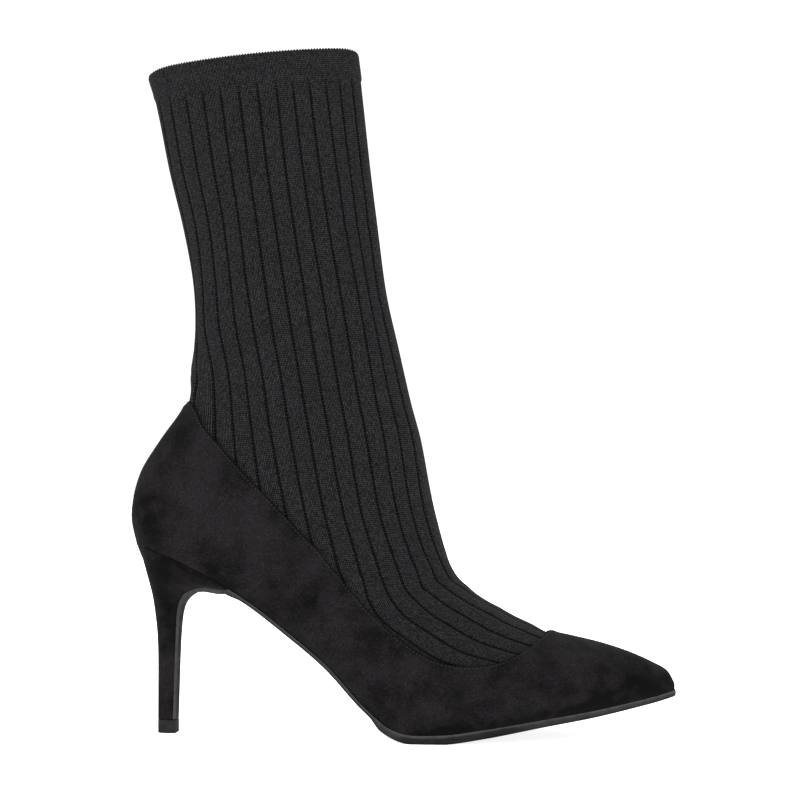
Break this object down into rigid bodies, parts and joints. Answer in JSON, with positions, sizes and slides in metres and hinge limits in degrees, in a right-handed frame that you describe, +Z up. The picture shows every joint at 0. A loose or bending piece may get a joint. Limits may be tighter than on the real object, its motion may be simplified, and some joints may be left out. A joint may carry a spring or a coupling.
{
  "type": "high-heeled boot",
  "caption": "Women's pointed ankle boot with a suede lower, a ribbed knit sock shaft, a slim high heel and a thin outsole that runs down the heel's breast.",
  "frame": {"origin": "on the floor, under the middle of the boot's box", "axes": "+X from heel to toe, +Y from the outer to the inner side of this right boot, +Z up from the floor"},
  "size_m": [0.2444, 0.0828, 0.3081],
  "materials": {
    "suede": "napped black microfibre suede",
    "knit": "matt black ribbed knit",
    "board": "lined insole board",
    "sole": "satin dark grey rubber",
    "heel": "suede wrapped over a moulded heel",
    "top_piece": "matt hard rubber"
  },
  "bodies": {
    "root": {"upper": "suede", "shaft": "knit", "insole": "board", "outsole": "sole", "heel": "heel", "top_piece": "top_piece"}
  },
  "joints": []
}
